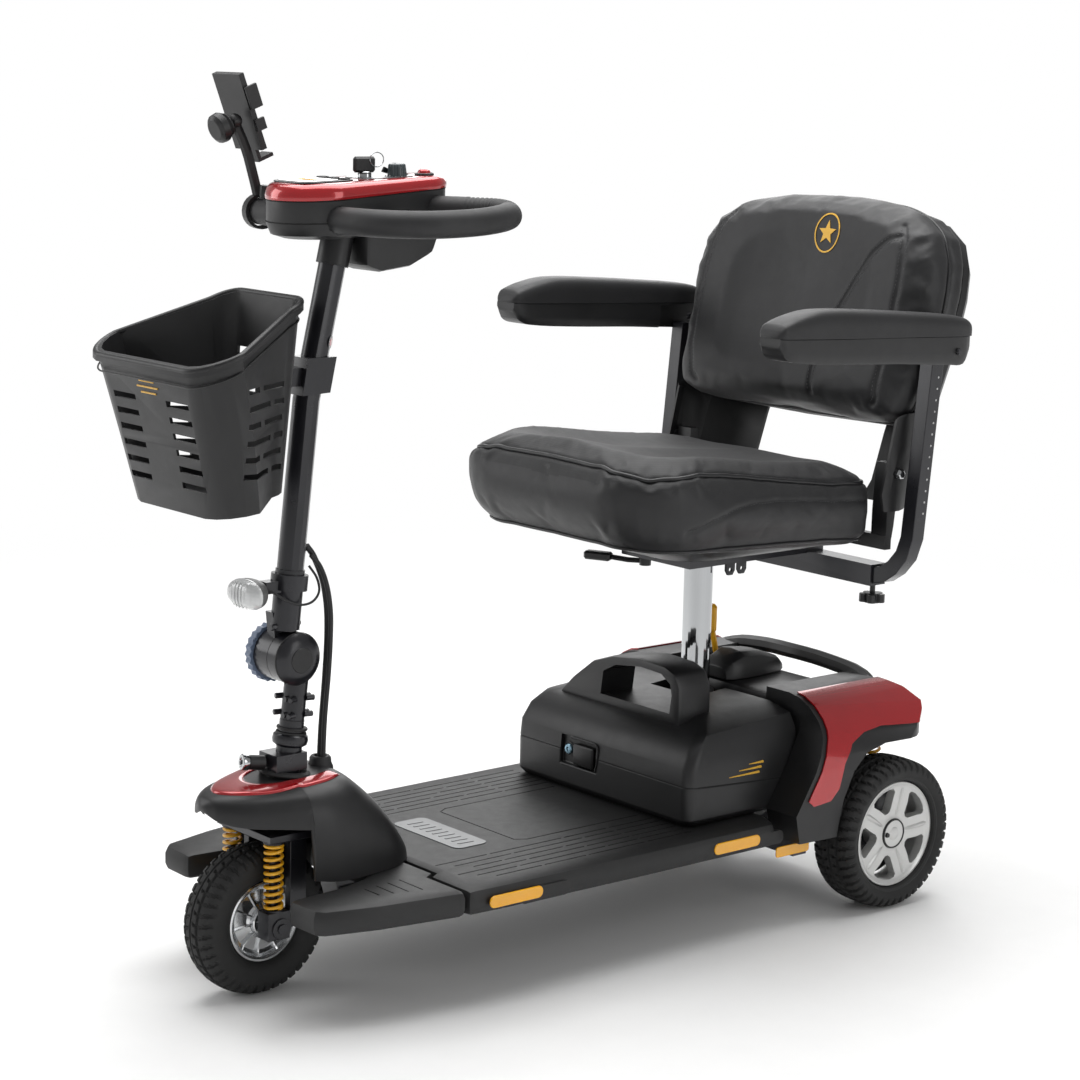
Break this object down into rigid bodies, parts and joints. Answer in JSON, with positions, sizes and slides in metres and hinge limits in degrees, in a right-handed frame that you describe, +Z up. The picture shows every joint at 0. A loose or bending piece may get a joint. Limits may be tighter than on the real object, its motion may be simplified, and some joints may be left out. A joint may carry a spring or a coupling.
{
  "type": "mobility scooter",
  "caption": "Travel mobility scooter with a tiller, front basket, flat deck, swivel seat with folding back and flip-up armrests, and a lift-out battery pack.",
  "frame": {"origin": "centre of the bounding box on the floor that the wheels stand on", "axes": "+Z up, -Y is the direction of travel (tiller end), +X is the rider's left"},
  "size_m": [0.6304, 1.3333, 1.222],
  "materials": {
    "satin_black": "satin black moulded plastic",
    "deck_black": "textured black moulded plastic",
    "metal_black": "gloss black powder coat on steel or aluminium",
    "vinyl": "black upholstery vinyl, soft sheen",
    "tyre": "black tyre rubber",
    "silver": "silver painted wheel alloy",
    "chrome": "polished chrome",
    "red": "high-gloss red panel",
    "yellow": "yellow enamel",
    "yellow_plastic": "yellow plastic grip",
    "knob_grey": "grey-blue moulded plastic",
    "lens": "pale grey lamp shell and clear lens",
    "rubber": "black rubber"
  },
  "bodies": {
    "base": {"chassis": "metal_black", "front_deck": "deck_black", "rear_deck": "deck_black", "front_shroud": "satin_black", "shroud_accent": "red", "rear_cover": "satin_black", "fender_panel_left": "red", "fender_panel_right": "red", "rear_spring_left": "yellow", "rear_spring_right": "yellow", "main_cable": "rubber"},
    "steering": {"fork_crown": "metal_black", "steering_stem": "metal_black", "tiller_lower": "metal_black", "front_spring_left": "yellow", "front_spring_right": "yellow"},
    "lock": {"lock_plunger": "silver"},
    "front_slider": {"front_carrier": "metal_black"},
    "front_wheel": {"front_tyre": "tyre", "front_rim": "silver"},
    "tiller": {"tiller_tube": "metal_black", "console_body": "satin_black", "console_cover": "red", "handlebar_left": "rubber", "handlebar_right": "rubber"},
    "knob": {"tilt_knob": "knob_grey"},
    "basket_body": {"basket": "satin_black"},
    "lamp": {"headlight": "lens"},
    "paddle": {"throttle_paddle": "satin_black"},
    "dial": {"speed_dial": "satin_black"},
    "key": {"ignition_key": "satin_black"},
    "horn": {"horn_button": "red"},
    "phone_clamp": {"phone_arm": "satin_black"},
    "phone_holder": {"phone_plate": "satin_black"},
    "phone_grip": {"phone_jaw": "satin_black"},
    "phone_lock": {"phone_nut": "satin_black"},
    "rear_axle": {"transaxle": "metal_black"},
    "rear_wheel_left": {"rear_tyre_left": "tyre", "rear_rim_left": "silver"},
    "rear_wheel_right": {"rear_tyre_right": "tyre", "rear_rim_right": "silver"},
    "battery": {"battery_case": "satin_black", "battery_cover": "satin_black"},
    "battery_flap": {"battery_latch": "satin_black"},
    "freewheel": {"freewheel_lever": "yellow_plastic"},
    "post_clamp": {"post_lever": "satin_black"},
    "post": {"seat_post": "chrome"},
    "seat": {"seat_receiver": "metal_black", "seat_tub": "satin_black", "seat_cushion": "vinyl"},
    "swivel": {"swivel_lever": "satin_black"},
    "backrest": {"back_cushion": "vinyl", "back_shell": "satin_black"},
    "arm_left": {"arm_frame_left": "metal_black"},
    "arm_right": {"arm_frame_right": "metal_black"},
    "rest_left": {"armrest_left": "satin_black"},
    "rest_right": {"armrest_right": "satin_black"},
    "arm_screw_left": {"arm_knob_left": "satin_black"},
    "arm_screw_right": {"arm_knob_right": "satin_black"}
  },
  "joints": [
    {"name": "steering_turn", "type": "hinge", "parent": "base", "child": "steering", "pos_m": [0, -0.43774, 0.3], "axis": [0, 0.1191, 0.9929], "range_deg": [-45, 45]},
    {"name": "lock_pull", "type": "slide", "parent": "steering", "child": "lock", "axis": [-0.2409, -0.9636, 0.1156], "range_m": [0, 0.008], "stiffness_N_per_m": 300, "springref_m": -0.004},
    {"name": "front_suspension", "type": "slide", "parent": "steering", "child": "front_slider", "axis": [0, 0, 1], "range_m": [0, 0.012], "stiffness_N_per_m": 22000, "springref_m": -0.03, "deforming": ["front_spring_left", "front_spring_right"]},
    {"name": "front_wheel_spin", "type": "hinge", "parent": "front_slider", "child": "front_wheel", "pos_m": [0, -0.4875, 0.1034], "axis": [1, 0, 0], "continuous": true},
    {"name": "tiller_tilt", "type": "hinge", "parent": "steering", "child": "tiller", "pos_m": [0, -0.4361, 0.4565], "axis": [1, 0, 0], "range_deg": [-8, 12], "deforming": ["main_cable"]},
    {"name": "tilt_knob_turn", "type": "hinge", "parent": "tiller", "child": "knob", "pos_m": [-0.03, -0.4361, 0.4565], "axis": [1, 0, 0], "range_deg": [0, 360]},
    {"name": "basket_lift", "type": "slide", "parent": "tiller", "child": "basket_body", "axis": [0, 0, 1], "range_m": [0, 0.03]},
    {"name": "lamp_tilt", "type": "hinge", "parent": "tiller", "child": "lamp", "pos_m": [0, -0.4813, 0.5505], "axis": [1, 0, 0], "range_deg": [-15, 15]},
    {"name": "throttle_swing", "type": "hinge", "parent": "tiller", "child": "paddle", "pos_m": [0, -0.3171, 1.044], "axis": [0, 0, 1], "range_deg": [-12, 12], "stiffness_Nm_per_rad": 0.9},
    {"name": "speed_turn", "type": "hinge", "parent": "tiller", "child": "dial", "pos_m": [0.022, -0.2831, 1.09105], "axis": [0, -0.045, 0.999], "range_deg": [0, 270]},
    {"name": "key_turn", "type": "hinge", "parent": "tiller", "child": "key", "pos_m": [0, -0.3201, 1.08944], "axis": [0, -0.045, 0.999], "range_deg": [0, 60]},
    {"name": "horn_press", "type": "slide", "parent": "tiller", "child": "horn", "axis": [0, 0.045, -0.999], "range_m": [0, 0.002], "stiffness_N_per_m": 400, "springref_m": -0.001},
    {"name": "phone_clamp_turn", "type": "hinge", "parent": "tiller", "child": "phone_clamp", "pos_m": [-0.126, -0.3999, 1.039], "axis": [0.9766, -0.2149, 0], "range_deg": [-15, 15]},
    {"name": "phone_tilt", "type": "hinge", "parent": "phone_clamp", "child": "phone_holder", "pos_m": [-0.13, -0.4391, 1.158], "axis": [1, 0, 0], "range_deg": [-5, 15]},
    {"name": "phone_jaw_slide", "type": "slide", "parent": "phone_holder", "child": "phone_grip", "axis": [1, 0, 0], "range_m": [0, 0.02]},
    {"name": "phone_nut_turn", "type": "hinge", "parent": "phone_clamp", "child": "phone_lock", "pos_m": [-0.13, -0.4391, 1.158], "axis": [0, 0.9326, 0.361], "range_deg": [0, 180]},
    {"name": "rear_suspension", "type": "hinge", "parent": "base", "child": "rear_axle", "pos_m": [0, 0.3869, 0.113], "axis": [1, 0, 0], "range_deg": [0, 4], "stiffness_Nm_per_rad": 1800, "springref_deg": -4.58, "deforming": ["rear_spring_left", "rear_spring_right"]},
    {"name": "rear_wheel_spin_left", "type": "hinge", "parent": "rear_axle", "child": "rear_wheel_left", "pos_m": [0.23475, 0.4889, 0.1143], "axis": [1, 0, 0], "continuous": true},
    {"name": "rear_wheel_spin_right", "type": "hinge", "parent": "rear_axle", "child": "rear_wheel_right", "pos_m": [-0.23475, 0.4889, 0.1143], "axis": [1, 0, 0], "continuous": true},
    {"name": "battery_lift", "type": "slide", "parent": "base", "child": "battery", "axis": [0, 0, 1], "range_m": [0, 0.06]},
    {"name": "battery_flap_turn", "type": "hinge", "parent": "battery", "child": "battery_flap", "pos_m": [-0.0135, 0.1261, 0.2238], "axis": [0, 0, 1], "range_deg": [0, 80]},
    {"name": "freewheel_turn", "type": "hinge", "parent": "base", "child": "freewheel", "pos_m": [-0.048, 0.4139, 0.3245], "axis": [1, 0, 0], "range_deg": [-25, 0]},
    {"name": "post_clamp_lift", "type": "hinge", "parent": "base", "child": "post_clamp", "pos_m": [0, 0.4859, 0.3225], "axis": [1, 0, 0], "range_deg": [-30, 0]},
    {"name": "seat_height", "type": "slide", "parent": "base", "child": "post", "axis": [0, 0, 1], "range_m": [-0.025, 0.025]},
    {"name": "seat_swivel", "type": "hinge", "parent": "post", "child": "seat", "pos_m": [0, 0.3139, 0.5078], "axis": [0, 0, 1], "range_deg": [-90, 90]},
    {"name": "swivel_lever_turn", "type": "hinge", "parent": "seat", "child": "swivel", "pos_m": [-0.036, 0.2369, 0.51], "axis": [0, 0, 1], "range_deg": [0, 14], "stiffness_Nm_per_rad": 2, "springref_deg": -2.86},
    {"name": "backrest_fold", "type": "hinge", "parent": "seat", "child": "backrest", "pos_m": [0, 0.4809, 0.66], "axis": [1, 0, 0], "range_deg": [0, 60]},
    {"name": "arm_slide_left", "type": "slide", "parent": "seat", "child": "arm_left", "axis": [1, 0, 0], "range_m": [0, 0.04]},
    {"name": "armrest_lift_left", "type": "hinge", "parent": "arm_left", "child": "rest_left", "pos_m": [0.286, 0.5209, 0.838], "axis": [1, 0, 0], "range_deg": [-90, 0]},
    {"name": "arm_knob_turn_left", "type": "hinge", "parent": "seat", "child": "arm_screw_left", "pos_m": [0.199, 0.4839, 0.468], "axis": [0, 0, 1], "range_deg": [0, 360]},
    {"name": "arm_slide_right", "type": "slide", "parent": "seat", "child": "arm_right", "axis": [-1, 0, 0], "range_m": [0, 0.04]},
    {"name": "armrest_lift_right", "type": "hinge", "parent": "arm_right", "child": "rest_right", "pos_m": [-0.286, 0.5209, 0.838], "axis": [1, 0, 0], "range_deg": [-90, 0]},
    {"name": "arm_knob_turn_right", "type": "hinge", "parent": "seat", "child": "arm_screw_right", "pos_m": [-0.199, 0.4839, 0.468], "axis": [0, 0, 1], "range_deg": [0, 360]}
  ]
}
